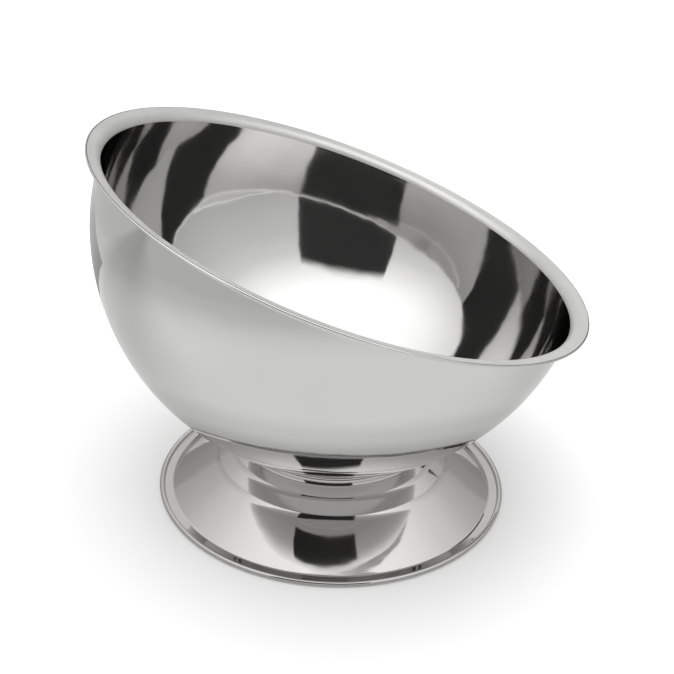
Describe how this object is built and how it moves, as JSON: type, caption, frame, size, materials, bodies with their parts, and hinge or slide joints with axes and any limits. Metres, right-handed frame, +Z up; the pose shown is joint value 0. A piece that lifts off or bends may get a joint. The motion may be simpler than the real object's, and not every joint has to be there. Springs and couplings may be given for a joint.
{
  "type": "pedicure foot bath",
  "caption": "Polished stainless steel pedicure foot bath: a tilted hemispherical bowl with a flanged lip on a spun conical foot.",
  "frame": {"origin": "on the floor, on the axis of the round foot", "axes": "+Z up; +X towards the low side of the tilted bowl; +Y across the bowl, along its level width"},
  "size_m": [0.3818, 0.4, 0.2979],
  "materials": {
    "polished_steel": "mirror-polished stainless steel",
    "zinc_steel": "zinc-plated fasteners and plain steel fittings",
    "black_rubber": "matt black rubber"
  },
  "bodies": {
    "root": {"bowl_shell": "polished_steel", "trumpet_foot": "polished_steel", "floor_ring": "black_rubber", "seat_gasket": "black_rubber", "stud_doubler": "zinc_steel", "weld_stud": "zinc_steel", "clamp_plate": "zinc_steel", "flat_washer": "zinc_steel", "spring_washer": "zinc_steel", "hex_nut": "zinc_steel"}
  },
  "joints": []
}
